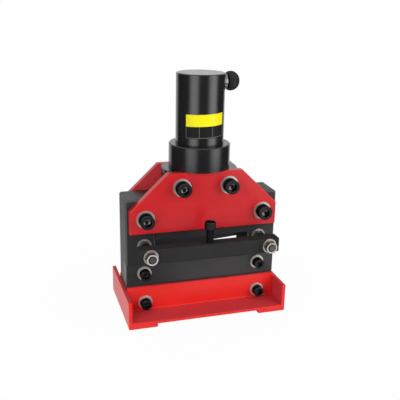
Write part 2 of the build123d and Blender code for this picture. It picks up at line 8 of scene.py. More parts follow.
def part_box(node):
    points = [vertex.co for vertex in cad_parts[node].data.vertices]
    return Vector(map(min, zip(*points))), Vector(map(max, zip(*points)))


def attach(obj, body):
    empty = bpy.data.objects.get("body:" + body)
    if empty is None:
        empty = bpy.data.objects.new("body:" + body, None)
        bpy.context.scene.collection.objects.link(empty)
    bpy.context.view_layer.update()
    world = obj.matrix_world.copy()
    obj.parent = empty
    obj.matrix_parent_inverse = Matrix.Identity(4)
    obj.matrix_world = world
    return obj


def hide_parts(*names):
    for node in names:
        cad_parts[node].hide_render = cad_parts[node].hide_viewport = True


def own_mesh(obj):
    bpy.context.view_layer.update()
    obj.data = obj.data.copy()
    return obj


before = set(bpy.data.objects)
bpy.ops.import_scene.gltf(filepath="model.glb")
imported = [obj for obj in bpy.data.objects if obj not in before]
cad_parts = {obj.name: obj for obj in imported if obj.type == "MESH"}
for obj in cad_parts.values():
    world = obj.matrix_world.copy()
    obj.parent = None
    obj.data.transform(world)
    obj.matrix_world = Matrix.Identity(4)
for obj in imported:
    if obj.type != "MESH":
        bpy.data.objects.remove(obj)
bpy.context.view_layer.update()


# Base: two end brackets and two folded angles of mild steel sheet, laser cut, bent and sprayed with
# bright red enamel. The angles lie on the feet of the brackets and grip the columns between them.
# The paint rounds every cut edge a little.
def srgb(hex_colour):
    """Linear RGBA of an sRGB hex value."""
    channels = [int(hex_colour[place:place + 2], 16) / 255 for place in (1, 3, 5)]
    linear = [c / 12.92 if c <= 0.04045 else ((c + 0.055) / 1.055) ** 2.4 for c in channels]
    return (*linear, 1.0)


def per_mm(size):
    """Texture scale that gives features about this many millimetres wide."""
    return 1000 / size


def add_node(finish, kind, inputs=(), **settings):
    """Adds a shader node with its settings, and fills its inputs with values or other nodes' sockets."""
    node = finish.node_tree.nodes.new("ShaderNode" + kind)
    for name, value in settings.items():
        setattr(node, name, value)
    for name, value in dict(inputs).items():
        if isinstance(value, bpy.types.NodeSocket):
            finish.node_tree.links.new(value, node.inputs[name])
        else:
            node.inputs[name].default_value = value
    return node


# A Mix node's sockets for colours go by number, because those for its other types have the same names.
SHARE, FIRST, SECOND = 0, 6, 7
MIXED = 2


def start_finish(name):
    """An empty material, and the Object coordinates that its patterns lie in."""
    finish = bpy.data.materials.new(name)
    finish.use_nodes = True
    finish.node_tree.nodes.clear()
    return finish, add_node(finish, "TexCoord").outputs["Object"]


def close_finish(finish, inputs):
    """Ends a material in a Principled shader."""
    shader = add_node(finish, "BsdfPrincipled", inputs)
    add_node(finish, "OutputMaterial", {"Surface": shader.outputs["BSDF"]})
    return finish


def sprayed_paint(name, colour, thin_colour, roughness, peel, specular=0.5):
    """Sprayed paint: tone that drifts with the film's thickness, an orange peel skin, uneven gloss.
    The peel is about 1.5 mm wide on the real piece and is drawn at 4 mm, so that it shows."""
    drift_mm = 60
    peel_mm = 4
    peel_height = 0.0003
    haze_mm = 18
    gloss_spread = 0.06
    paint, place = start_finish(name)
    drift = add_node(paint, "TexNoise", {"Vector": place, "Scale": per_mm(drift_mm), "Detail": 3.0})
    tone = add_node(paint, "Mix", {SHARE: drift.outputs["Fac"], FIRST: srgb(colour),
                                   SECOND: srgb(thin_colour)}, data_type="RGBA")
    skin = add_node(paint, "TexNoise", {"Vector": place, "Scale": per_mm(peel_mm), "Detail": 2.0})
    bump = add_node(paint, "Bump", {"Height": skin.outputs["Fac"], "Strength": peel,
                                    "Distance": peel_height})
    haze = add_node(paint, "TexNoise", {"Vector": place, "Scale": per_mm(haze_mm), "Detail": 4.0})
    gloss = add_node(paint, "MapRange", {"Value": haze.outputs["Fac"], "To Min": roughness - gloss_spread,
                                         "To Max": roughness + gloss_spread})
    return close_finish(paint, {"Base Color": tone.outputs[MIXED], "Roughness": gloss.outputs["Result"],
                                "Specular IOR Level": specular, "Normal": bump.outputs["Normal"]})


def merged_copy(node):
    """Copy of a CAD piece with its loose triangles joined into whole faces."""
    same_point = 1e-6
    same_plane = math.radians(0.5)
    bm = bmesh.new()
    bm.from_mesh(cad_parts[node].data)
    bmesh.ops.remove_doubles(bm, verts=bm.verts, dist=same_point)
    bmesh.ops.dissolve_limit(bm, angle_limit=same_plane, verts=bm.verts, edges=bm.edges)
    return bm


def round_edges(bm, width):
    """Rounds every sharp edge by a small width, as filing and paint leave it."""
    sharp_angle = math.radians(30)
    sharp = [edge for edge in bm.edges if edge.is_manifold and edge.calc_face_angle() > sharp_angle]
    bmesh.ops.bevel(bm, geom=sharp, offset=width, affect="EDGES", segments=2, profile=0.5, material=-1,
                    clamp_overlap=True)


def to_mesh(bm, name):
    """Turns a bmesh into a mesh."""
    mesh = bpy.data.meshes.new(name)
    bm.to_mesh(mesh)
    bm.free()
    return mesh


def make_piece(bm, name, finishes, slot, body, *stands_for):
    """Turns a bmesh into a piece that rides on a body and stands for CAD nodes."""
    crease = math.radians(33)
    bmesh.ops.recalc_face_normals(bm, faces=bm.faces)
    mesh = to_mesh(bm, name)
    for finish in finishes:
        mesh.materials.append(finish)
    mesh.shade_smooth()
    mesh.set_sharp_from_angle(angle=crease)
    piece = bpy.data.objects.new(name, mesh)
    bpy.context.scene.collection.objects.link(piece)
    shading = piece.modifiers.new("flat_faces_stay_flat", "WEIGHTED_NORMAL")
    shading.keep_sharp = True
    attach(piece, body)
    if stands_for:
        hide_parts(*stands_for)
    return piece


def finished(node, name, finishes, slot, edge, body="frame", pick=lambda normal: 0):
    """CAD piece with its edges rounded to a width and its faces finished.
    pick gives the number of a face's finish by the face's normal."""
    bm = merged_copy(node)
    round_edges(bm, edge)
    bm.normal_update()
    for face in bm.faces:
        face.material_index = pick(face.normal)
    return make_piece(bm, name, finishes, slot, body, node)


# Bright red alkyd enamel, sprayed and baked: a soft gloss with a slight orange peel.
base_enamel = sprayed_paint("red_enamel_on_sheet", "#F52D27", "#EC2722", 0.36, peel=0.12, specular=0.4)
# Painted shade: the same enamel, darker, matt and more crimson, on the faces that lie in shade.
shade_red_enamel = sprayed_paint("red_enamel_painted_shade", "#DA4046", "#D0393F", 0.6, peel=0.12, specular=0.15)
base_finishes = [base_enamel, shade_red_enamel]
# A face looks along an axis when its normal has at least this share of it.
FACING = 0.9
# Upward faces, and the inner faces of the brackets' wings, take the red with the painted shade.
for side, inward in (("left", 1), ("right", -1)):
    finished("base_end_" + side, "enamelled_end_bracket_" + side, base_finishes, "red_paint", edge=0.0006,
             pick=lambda normal: int(max(normal.x * inward, normal.z) > FACING))
for side in ("front", "rear"):
    finished("base_%s_angle" % side, "enamelled_angle_" + side, base_finishes, "red_paint", edge=0.0006,
             pick=lambda normal: int(normal.z > FACING))


# Columns: two square bars of cold drawn steel, milled and chamfered, standing on the feet of the base.
# They are painted black, apart from the faces that guide the ram, which have a dry film, and the chamfers,
# which carry a painted highlight.

# Black enamel with a soft shine: the lamps and the floor show in it only as a broad grey.
column_enamel = sprayed_paint("satin_black_enamel", "#212122", "#29292A", 0.5, peel=0.16, specular=0.45)
# Graphite dry film on the faces that guide the ram: sooty black with hardly any shine.
slide_film = sprayed_paint("graphite_dry_film", "#202021", "#272728", 0.8, peel=0.08, specular=0.06)
# Enamel drawn thin over the milled chamfers: the grey of the steel comes through in a pale line.
# Pale grey enamel on the milled chamfers, so that they show as light lines along the edges: a painted
# highlight.
chamfer_highlight_enamel = sprayed_paint("pale_black_enamel_painted_highlight", "#5A5A5B", "#4A4A4B", 0.5, peel=0.16, specular=0.3)
OUTSIDE, GUIDE, CHAMFER = range(3)
# A face is a chamfer when its normal has less than this share of every axis.
SLANTING = 0.8


def column_surface(normal, inward):
    """Which of a column's finishes is on a face; inward is the way to the ram along X."""
    if normal.x * inward > FACING:
        return GUIDE
    if max(map(abs, normal)) < SLANTING:
        return CHAMFER
    return OUTSIDE


for side, inward in (("left", 1), ("right", -1)):
    finished("column_" + side, "painted_column_" + side, [column_enamel, slide_film, chamfer_highlight_enamel],
             "black_paint", edge=0.0005, pick=lambda normal: column_surface(normal, inward))


# Base screws: four M12 socket head screws on flat washers hold the angles to the columns.
# The washers are stamped and zinc plated in a drum, the screws are hardened and black oxidised.
M12 = 0.012
facing_front = Matrix.Rotation(math.pi / 2, 4, "X")
facing_rear = Matrix.Rotation(-math.pi / 2, 4, "X")


def worked_metal(name, colour, dull_colour, roughness, grain, relief, edge_tint="#FFFFFF"):
    """Metal with a grain: its size along X, Y and Z in millimetres gives clouds or drawn lines.
    The edge tint is what a coat leaves of its shine at a flat angle."""
    polish_spread = 0.08
    mark_height = 0.0002
    metal, place = start_finish(name)
    lines = add_node(metal, "Mapping", {"Vector": place, "Scale": [per_mm(size) for size in grain]})
    marks = add_node(metal, "TexNoise", {"Vector": lines.outputs["Vector"], "Scale": 1.0, "Detail": 4.0})
    tone = add_node(metal, "Mix", {SHARE: marks.outputs["Fac"], FIRST: srgb(colour),
                                   SECOND: srgb(dull_colour)}, data_type="RGBA")
    polish = add_node(metal, "MapRange", {"Value": marks.outputs["Fac"],
                                          "To Min": roughness - polish_spread,
                                          "To Max": roughness + polish_spread})
    bump = add_node(metal, "Bump", {"Height": marks.outputs["Fac"], "Strength": relief,
                                    "Distance": mark_height})
    return close_finish(metal, {"Base Color": tone.outputs[MIXED], "Roughness": polish.outputs["Result"],
                                "Metallic": 1.0, "Specular Tint": srgb(edge_tint),
                                "Normal": bump.outputs["Normal"]})


def solids_of(node):
    """Lowest and highest corners of each separate solid of a CAD group."""
    bm = merged_copy(node)
    waiting = set(bm.verts)
    boxes = []
    while waiting:
        reached = [waiting.pop()]
        for vert in reached:
            near = {edge.other_vert(vert) for edge in vert.link_edges} & waiting
            waiting -= near
            reached += near
        boxes.append([Vector([extreme(vert.co[axis] for vert in reached) for axis in range(3)])
                      for extreme in (min, max)])
    bm.free()
    return boxes


def lathe(bm, outline, steps, rise=0.0):
    """Spins an (r, z) outline once round Z. One that rises as it turns makes a thread."""
    corners = [bm.verts.new((r, 0, z)) for r, z in outline]
    sides = [bm.edges.new(pair) for pair in zip(corners, corners[1:])]
    bmesh.ops.spin(bm, geom=corners + sides, cent=(0, 0, 0), axis=(0, 0, 1), angle=2 * math.pi,
                   steps=steps, dvec=(0, 0, rise / steps), use_merge=(rise == 0))


def cap_screw(diameter, length):
    """Socket head screw, seat at the origin and head up, with straight knurling round the head and the
    point of the drill left at the bottom of the socket, which has the second finish."""
    head_r = 0.75 * diameter
    head_edge = 0.08 * diameter
    shank_r = 0.5 * diameter
    point = 0.1 * diameter
    teeth = 40
    knurl_root = 0.975
    socket_r = 0.8 * diameter / math.sqrt(3)
    mouth_z = 0.985 * diameter
    floor_z = 0.45 * diameter
    drill_r = 0.38 * diameter
    drill_h = drill_r * math.tan(math.radians(31))
    bm = bmesh.new()
    lathe(bm, [(shank_r - point, -length), (shank_r, point - length), (shank_r, 0),
               (head_r - head_edge / 2, 0), (head_r, head_edge / 2), (head_r, diameter - head_edge),
               (head_r - head_edge, diameter), (shank_r, diameter)], 2 * teeth)
    for vert in bm.verts:
        flute = round(math.atan2(vert.co.y, vert.co.x) / math.pi * teeth)
        if flute % 2 and vert.co.xy.length > head_r - head_edge / 4:
            vert.co.xy *= knurl_root
    rim = [edge for edge in bm.edges if edge.is_boundary and edge.verts[0].co.z > 0]
    bmesh.ops.create_circle(bm, segments=6, radius=socket_r, matrix=Matrix.Translation((0, 0, mouth_z)))
    mouth = [edge for edge in bm.edges if edge.is_wire]
    bmesh.ops.bridge_loops(bm, edges=rim + mouth)
    walls = bmesh.ops.extrude_edge_only(bm, edges=mouth)["geom"]
    floor_corners = [part for part in walls if isinstance(part, bmesh.types.BMVert)]
    bmesh.ops.translate(bm, verts=floor_corners, vec=(0, 0, floor_z - mouth_z))
    bmesh.ops.create_cone(bm, segments=24, radius1=0, radius2=drill_r, depth=drill_h,
                          matrix=Matrix.Translation((0, 0, floor_z - drill_h / 2)))
    bmesh.ops.remove_doubles(bm, verts=bm.verts, dist=1e-7)
    ledge = [edge for edge in bm.edges if edge.is_boundary and edge.verts[0].co.z > 0]
    bmesh.ops.bridge_loops(bm, edges=ledge)
    bmesh.ops.holes_fill(bm, edges=[edge for edge in bm.edges if edge.is_boundary], sides=0)
    for face in bm.faces:
        centre = face.calc_center_median()
        face.material_index = int(0 < centre.z < floor_z - 1e-6 and centre.xy.length < drill_r)
    return to_mesh(bm, "screw")


def set_out(bm, master, place):
    """Adds a copy of one fastener to a group."""
    start = len(bm.verts)
    bm.from_mesh(master)
    bm.verts.ensure_lookup_table()
    bmesh.ops.transform(bm, matrix=place, verts=bm.verts[start:])


# Zinc plate on the small washers, tumbled in the plating drum: pale, matt and cloudy.
pale_zinc = worked_metal("tumbled_zinc_plate", "#F2F0EB", "#DCDAD4", 0.62, grain=(3, 3, 3), relief=0.06)
# Black oxide on hardened steel: near black with a thin oily sheen that the knurls break up.
black_oxide = worked_metal("black_oxide_steel", "#3C3C3F", "#303033", 0.45, grain=(2, 2, 2), relief=0.06,
                           edge_tint="#8C8C8C")


def knurled_screws(node, name, diameter, body, faces_rear):
    """Socket head screws for a CAD group; faces_rear tells which heads point to the rear."""
    bm = bmesh.new()
    for lo, hi in solids_of(node):
        middle = (lo + hi) / 2
        screw = cap_screw(diameter, hi.y - lo.y - diameter)
        if faces_rear(middle):
            seat = Matrix.Translation((middle.x, hi.y - diameter, middle.z)) @ facing_rear
        else:
            seat = Matrix.Translation((middle.x, lo.y + diameter, middle.z)) @ facing_front
        set_out(bm, screw, seat)
    make_piece(bm, name, [black_oxide, black_oxide], "black_oxide", body, node)


finished("base_washers", "plated_base_washers", [pale_zinc], "zinc", edge=0.0003)
knurled_screws("base_screws", "knurled_base_screws", M12, "frame", lambda middle: middle.y > 0)


# Lower jaw: a T milled from steel plate and painted black, its ears screwed into the column notches.
# Its blade is hardened tool steel, surface ground lengthwise, held from the rear by flush screws.

# Black enamel with more shine than the columns': it picks up a little red from the base below.
jaw_enamel = sprayed_paint("semi_gloss_black_enamel", "#252526", "#2C2C2D", 0.42, peel=0.14, specular=0.62)
finished("lower_jaw", "painted_lower_jaw", [jaw_enamel], "black_paint", edge=0.0005)
# Ground tool steel: fine bright lines along the blade.
ground_steel = worked_metal("ground_tool_steel", "#B9BBBE", "#8F9194", 0.34, grain=(40, 0.7, 0.7),
                            relief=0.1)


def refinish(node, finish):
    """Gives a CAD piece whose shape is right its finish."""
    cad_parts[node].material_slots[0].material = finish


refinish("lower_blade", ground_steel)
refinish("lower_blade_screws", black_oxide)
finished("jaw_washers", "plated_jaw_washers", [pale_zinc], "zinc", edge=0.0003)
knurled_screws("jaw_screws", "knurled_jaw_screws", M12, "frame", lambda middle: False)


# Side plates: two trapezoids of 11.5 mm steel plate, laser cut, chamfered on the outside and enamelled
# red like the base. They tie the columns to the cylinder head.

# Red enamel in a full coat on thick plate: a deeper red than the base, with a clearer shine.
plate_enamel = sprayed_paint("red_enamel_on_plate", "#D01B21", "#C6161D", 0.32, peel=0.12)
# The faces of the plates that look at each other take the red with the painted shade.
for side, inward in (("front", 1), ("rear", -1)):
    finished(side + "_plate", "enamelled_plate_" + side, [plate_enamel, shade_red_enamel], "red_paint",
             edge=0.0004, pick=lambda normal: int(normal.y * inward > FACING))


# Cylinder head: a turned steel disc with two milled flats, gripped between the plates.
# It is sprayed black together with the collar.

# Black enamel with a breath of dust: smooth, with a shine that is held back a little.
head_enamel = sprayed_paint("dusty_black_enamel", "#1C1C1E", "#212123", 0.2, peel=0.08, specular=0.4)
finished("cylinder_head", "painted_cylinder_head", [head_enamel], "gloss_black", edge=0.0003)


# Frame bolts: four long M16 socket head screws, black oxidised, two through the columns and two through
# the head, with zinc plated washers under the heads and the nuts.
M16 = 0.016
M16_PITCH = 0.002
# A face of a nut or a rod is an end face when its normal has at least this share of the axis.
END_ON = 0.95


def threaded_rod(diameter, pitch, length):
    """Rod with a rolled thread and chamfered ends, standing on the origin: its outline makes one turn as
    it rises one pitch."""
    crest = diameter / 2
    root = crest - 0.6 * pitch
    flank_foot = 0.25 * pitch
    flank_top = 0.56 * pitch
    crest_end = 0.69 * pitch
    chamfer_slope = 0.8
    outline = []
    for turn in range(-1, math.ceil(length / pitch) + 1):
        z = turn * pitch
        outline += [(root, z), (root, z + flank_foot), (crest, z + flank_top), (crest, z + crest_end)]
    bm = bmesh.new()
    lathe(bm, outline, steps=32, rise=pitch)
    bmesh.ops.remove_doubles(bm, verts=bm.verts, dist=1e-6)
    for height, way in ((0, -1), (length, 1)):
        bmesh.ops.bisect_plane(bm, geom=bm.verts[:] + bm.edges[:] + bm.faces[:], dist=1e-7,
                               plane_co=(0, 0, height), plane_no=(0, 0, way), clear_outer=True)
    for vert in bm.verts:
        reach = root + min(vert.co.z, length - vert.co.z) * chamfer_slope
        if vert.co.xy.length > reach:
            vert.co.xy *= reach / vert.co.xy.length
    bmesh.ops.holes_fill(bm, edges=[edge for edge in bm.edges if edge.is_boundary], sides=0)
    return to_mesh(bm, "rod")


def finished_nuts(node, name, diameter, finishes, slot):
    """CAD nuts with a countersink at each mouth of the bore; the second finish is on the end faces."""
    bore_r = 0.505 * diameter
    countersink = 0.07 * diameter
    corner = math.radians(60)
    bm = merged_copy(node)
    axes = [(lo + hi) / 2 for lo, hi in solids_of(node)]
    mouths = []
    for edge in bm.edges:
        lip = (edge.verts[0].co + edge.verts[1].co) / 2
        off = min((lip - axis).xz.length for axis in axes)
        along = abs(edge.verts[0].co.y - edge.verts[1].co.y)
        if along < 1e-6 and off < bore_r and edge.calc_face_angle(0) > corner:
            mouths.append(edge)
    bmesh.ops.bevel(bm, geom=mouths, offset=countersink, affect="EDGES", segments=1, profile=0.5,
                    material=-1, clamp_overlap=True)
    bm.normal_update()
    for face in bm.faces:
        face.material_index = int(abs(face.normal.y) > END_ON)
    make_piece(bm, name, finishes, slot, "frame", node)


# Zinc plate over the forged flats of the nuts, dull and darker and browner than on the end faces: painted
# shade.
shaded_zinc_flats = worked_metal("zinc_plate_painted_shade_flats", "#8A8178", "#6E665E", 0.38, grain=(3, 3, 3),
                               relief=0.06, edge_tint="#9A9490")
# Zinc plate over the turned end faces of the nuts: pale, with a soft mirror shine.
bright_zinc = worked_metal("bright_zinc_plate", "#DAD9D6", "#C2C1BD", 0.22, grain=(3, 3, 3), relief=0.04)
# Zinc plate on the large washers: grey and cloudy, with a soft shine.
zinc_plate = worked_metal("dull_zinc_plate", "#DEDBD5", "#C8C5BF", 0.48, grain=(3, 3, 3), relief=0.06)
finished("frame_washers", "plated_frame_washers", [zinc_plate], "zinc", edge=0.0004)
# The nuts' flats take the zinc with painted shade, their end faces the bright zinc.
finished_nuts("frame_nuts", "plated_frame_nuts", M16, [shaded_zinc_flats, bright_zinc], "zinc")
# Drilled steel at the bottom of the large sockets: small glints of the lamps deep in the heads.
drilled_steel = worked_metal("drilled_socket_steel", "#6A6763", "#4E4C48", 0.2, grain=(2, 2, 2),
                             relief=0.04)
frame_bolts = bmesh.new()
thread_length = 0.024
for lo, hi in solids_of("frame_bolts"):
    middle = (lo + hi) / 2
    set_out(frame_bolts, cap_screw(M16, hi.y - lo.y - M16 - thread_length),
            Matrix.Translation((middle.x, lo.y + M16, middle.z)) @ facing_front)
    set_out(frame_bolts, threaded_rod(M16, M16_PITCH, thread_length),
            Matrix.Translation((middle.x, hi.y - thread_length, middle.z)) @ facing_rear)
make_piece(frame_bolts, "knurled_frame_bolts", [black_oxide, drilled_steel], "black_oxide", "frame",
           "frame_bolts")


# Collar and barrel: a turned steel tube, closed at the top, screwed into a turned cup.
# The cup is sprayed with the head, and the tube in a deeper gloss that its top face has lost to dust.
finished("collar", "painted_collar", [head_enamel], "gloss_black", edge=0.0001)
# Gloss black enamel that has flowed out smooth: the lamps stand in it as tall soft streaks.
barrel_enamel = sprayed_paint("gloss_black_enamel", "#1F1F21", "#232325", 0.18, peel=0.05)
finished("barrel", "painted_barrel", [barrel_enamel, head_enamel], "gloss_black", edge=0.0003,
         pick=lambda normal: int(normal.z > FACING))


# Sticker: printed vinyl film stuck round the front of the barrel by hand, a little crooked.
# It has a plain yellow band over an empty ruled table.
def printed_vinyl(name, colour, faded_colour, roughness):
    """Screen printed vinyl film: even ink with a faint mottle and a low shine."""
    mottle_mm = 6
    mottle_height = 0.0001
    vinyl, place = start_finish(name)
    mottle = add_node(vinyl, "TexNoise", {"Vector": place, "Scale": per_mm(mottle_mm), "Detail": 3.0})
    ink = add_node(vinyl, "Mix", {SHARE: mottle.outputs["Fac"], FIRST: srgb(colour),
                                  SECOND: srgb(faded_colour)}, data_type="RGBA")
    bump = add_node(vinyl, "Bump", {"Height": mottle.outputs["Fac"], "Strength": 0.06,
                                    "Distance": mottle_height})
    return close_finish(vinyl, {"Base Color": ink.outputs[MIXED], "Roughness": roughness,
                                "Specular IOR Level": 0.22, "Normal": bump.outputs["Normal"]})


# Black ink: the bare ground of the table, matt beside the gloss of the barrel.
black_vinyl = printed_vinyl("black_printed_vinyl", "#100E0D", "#141211", roughness=0.65)
# Yellow ink: a clear lemon band, the brightest colour on the cutter.
yellow_vinyl = printed_vinyl("yellow_printed_vinyl", "#F9EF08", "#F3E806", roughness=0.5)
# Pale ink: thin rules in a warm grey.
pale_vinyl = printed_vinyl("pale_printed_vinyl", "#74716A", "#67645D", roughness=0.5)
BLACK_INK, YELLOW_INK, PALE_INK = range(3)
collar_lo, collar_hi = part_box("collar")
axis_y = (collar_lo.y + collar_hi.y) / 2
barrel_r = 0.0395
film = 0.00015
rule = 0.0008
margin = 0.001
table_foot = 0.3014
rule_top = table_foot + rule
band_foot = 0.3199
band_top = 0.3389
label_middle = math.radians(-2)
edge_angle = math.radians(48.5)
divider_angle = math.radians(16)
rule_angle = rule / barrel_r
side_angle = edge_angle - divider_angle - 1.5 * rule_angle
middle_angle = 2 * divider_angle - rule_angle
cell_steps = 12
strips = [(rule_angle, 1), (side_angle, cell_steps), (rule_angle, 1), (middle_angle, cell_steps),
          (rule_angle, 1), (side_angle, cell_steps), (rule_angle, 1)]
sticker = bmesh.new()
start_angle = label_middle - edge_angle
upright = [sticker.verts.new((math.sin(start_angle) * (barrel_r + film),
                              axis_y - math.cos(start_angle) * (barrel_r + film), height))
           for height in (table_foot - margin, table_foot, rule_top, band_foot, band_top)]
upright += [sticker.edges.new(pair) for pair in zip(upright, upright[1:])]
for number, (width, steps) in enumerate(strips):
    before = set(sticker.faces)
    upright = bmesh.ops.spin(sticker, geom=upright, cent=(0, axis_y, 0), axis=(0, 0, 1), angle=width,
                             steps=steps)["geom_last"]
    for face in set(sticker.faces) - before:
        height = face.calc_center_median().z
        if height > band_foot:
            face.material_index = YELLOW_INK
        elif height > table_foot and (number % 2 == 0 or height < rule_top):
            face.material_index = PALE_INK
        else:
            face.material_index = BLACK_INK
bmesh.ops.remove_doubles(sticker, verts=sticker.verts, dist=1e-7)
# It rises to the right by this slope.
crooked = 0.03
for vert in sticker.verts:
    vert.co.z += crooked * (math.atan2(vert.co.x, axis_y - vert.co.y) - label_middle) * barrel_r
bmesh.ops.recalc_face_normals(sticker, faces=sticker.faces)
bmesh.ops.solidify(sticker, geom=sticker.faces[:], thickness=2 * film)
make_piece(sticker, "barrel_sticker", [black_vinyl, yellow_vinyl, pale_vinyl], "gloss_black", "frame")


# Cylinder's inside: a bronze gland bush and rubber wiper, a chromed rod with its seal, a coil spring.
# Only a short length of the rod shows, between the ram block and the head.

# Hard chrome, ground and polished: a clear mirror with faint lines along the rod.
hard_chrome = worked_metal("hard_chrome", "#C9CCD0", "#B4B7BB", 0.14, grain=(1, 1, 12), relief=0.02)
# Cast bronze, turned: warm brown with fine tool marks round it.
turned_bronze = worked_metal("turned_bronze", "#A9793F", "#8E6231", 0.35, grain=(20, 20, 0.5), relief=0.08)
# Oil tempered spring wire: dark blue grey with drawing lines.
spring_wire = worked_metal("tempered_spring_wire", "#5B5F66", "#45484E", 0.38, grain=(4, 4, 0.6),
                           relief=0.08)


def moulded_rubber(name, colour, bloom_colour, roughness):
    """Moulded rubber: a dull black skin with a fine grain and a grey bloom."""
    bloom_mm = 9
    grain_mm = 0.8
    grain_height = 0.0002
    rubber, place = start_finish(name)
    bloom = add_node(rubber, "TexNoise", {"Vector": place, "Scale": per_mm(bloom_mm), "Detail": 4.0})
    tone = add_node(rubber, "Mix", {SHARE: bloom.outputs["Fac"], FIRST: srgb(colour),
                                    SECOND: srgb(bloom_colour)}, data_type="RGBA")
    grain = add_node(rubber, "TexNoise", {"Vector": place, "Scale": per_mm(grain_mm), "Detail": 2.0})
    bump = add_node(rubber, "Bump", {"Height": grain.outputs["Fac"], "Strength": 0.2,
                                     "Distance": grain_height})
    return close_finish(rubber, {"Base Color": tone.outputs[MIXED], "Roughness": roughness,
                                 "Specular IOR Level": 0.3, "Normal": bump.outputs["Normal"]})


# Nitrile rubber of the seals, moulded: dull black with a little oil on it.
seal_rubber = moulded_rubber("nitrile_seal_rubber", "#1A1A1B", "#232324", roughness=0.5)
refinish("gland_bush", turned_bronze)
refinish("rod_wiper", seal_rubber)
refinish("piston_rod", hard_chrome)
refinish("piston_seal", seal_rubber)
# The spring stands on the gland and shortens by the stroke as the piston comes down on it.
spring = make_piece(merged_copy("return_spring"), "wound_return_spring", [spring_wire], "spring_steel",
                    "frame", "return_spring")
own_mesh(spring)


# Ram block and upper blade: a milled steel block, painted like the columns that it slides between.
# It carries the raked blade of oxidised tool steel on three M8 screws from the rear.
finished("ram_block", "painted_ram_block", [column_enamel], "black_paint", edge=0.0004, body="ram")
refinish("upper_blade", black_oxide)
M8 = 0.008
knurled_screws("upper_blade_screws", "knurled_blade_screws", M8, "ram", lambda middle: True)


# Hold-down bar: square steel bar, sawn, drilled and painted black, which stands off in front of the
# columns on two studs.

# Flat black enamel: it hides the red plate behind, which a glossier one would mirror.
bar_enamel = sprayed_paint("flat_black_enamel", "#2D2D2E", "#343435", 0.85, peel=0.16, specular=0.06)
finished("hold_down_bar", "painted_hold_down_bar", [bar_enamel], "black_paint", edge=0.0003)


# Studs: two lengths of M12 threaded rod, oxidised and sawn off, screwed into the columns.
# An oxidised nut locks each stud to its column, and two zinc plated ones grip the bar.
M12_PITCH = 0.00175
finished("stud_washers", "plated_stud_washers", [zinc_plate], "zinc", edge=0.0003)
# Black oxide worn by the spanner: grey steel shows through in patches.
worn_oxide = worked_metal("worn_black_oxide", "#8A8784", "#2E2D2D", 0.55, grain=(2.5, 2.5, 2.5), relief=0.1)
finished_nuts("stud_lock_nuts", "oxidised_lock_nuts", M12, [worn_oxide, black_oxide], "black_oxide")
# The bar nuts' flats also take the zinc with painted shade.
finished_nuts("bar_nuts", "plated_bar_nuts", M12, [shaded_zinc_flats, bright_zinc], "zinc")
# Sawn steel on the cut ends of the studs: grey and dull, with a fine torn grain.
sawn_steel = worked_metal("sawn_steel", "#7C7872", "#54514C", 0.5, grain=(0.9, 6, 0.9), relief=0.15)
studs = bmesh.new()
for lo, hi in solids_of("hold_down_studs"):
    middle = (lo + hi) / 2
    set_out(studs, threaded_rod(M12, M12_PITCH, hi.y - lo.y),
            Matrix.Translation((middle.x, hi.y, middle.z)) @ facing_front)
studs.normal_update()
for face in studs.faces:
    face.material_index = int(abs(face.normal.y) > END_ON)
make_piece(studs, "threaded_studs", [black_oxide, sawn_steel], "black_oxide", "frame", "hold_down_studs")


# Clamp screw: an M12 socket head screw, threaded down through the bar, black oxidised.
# A hardened thrust ball with a flat face is swaged into its tip and stays still while it turns.
plain_shank = 0.002
thread_gap = 0.0005
screw_lo, screw_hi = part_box("clamp_screw")
screw_mid = (screw_lo + screw_hi) / 2
screw_seat = screw_hi.z - M12
clamp_screw = bmesh.new()
set_out(clamp_screw, cap_screw(M12, plain_shank),
        Matrix.Translation((screw_mid.x, screw_mid.y, screw_seat)))
set_out(clamp_screw, threaded_rod(M12, M12_PITCH, screw_seat - screw_lo.z - thread_gap),
        Matrix.Translation((screw_mid.x, screw_mid.y, screw_lo.z)))
make_piece(clamp_screw, "threaded_clamp_screw", [black_oxide, black_oxide], "black_oxide", "clamp_screw",
           "clamp_screw")
refinish("clamp_tip", ground_steel)


# Coupler: a steel nipple, turned and zinc plated, screwed into the barrel's side under its closed end.
# The lip of its flange, against the dust cap, is rounded.

# Zinc plate on the turned coupler, greyed by oil: it mirrors the dark room as well as the lamps.
oiled_zinc = worked_metal("oiled_zinc_plate", "#858584", "#747473", 0.14, grain=(6, 6, 6), relief=0.02,
                          edge_tint="#A8A8A8")
cap_lo, cap_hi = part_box("dust_cap")
cap_mid = (cap_lo + cap_hi) / 2
lip_depth = 0.0005
lip_least_r = 0.012
lip_round = 0.003
coupler = merged_copy("coupler")
lip = [edge for edge in coupler.edges
       if all(abs(vert.co.x - cap_lo.x) < lip_depth and (vert.co - cap_mid).yz.length > lip_least_r
              for vert in edge.verts)]
bmesh.ops.bevel(coupler, geom=lip, offset=lip_round, affect="EDGES", segments=5, profile=0.5, material=-1,
                clamp_overlap=True)
make_piece(coupler, "plated_coupler", [oiled_zinc], "zinc", "frame", "coupler")


# Dust cap: a moulded rubber cap pushed over the coupler's nose, with a domed end, a round rim, and ribs
# to grip it by that run over the dome.

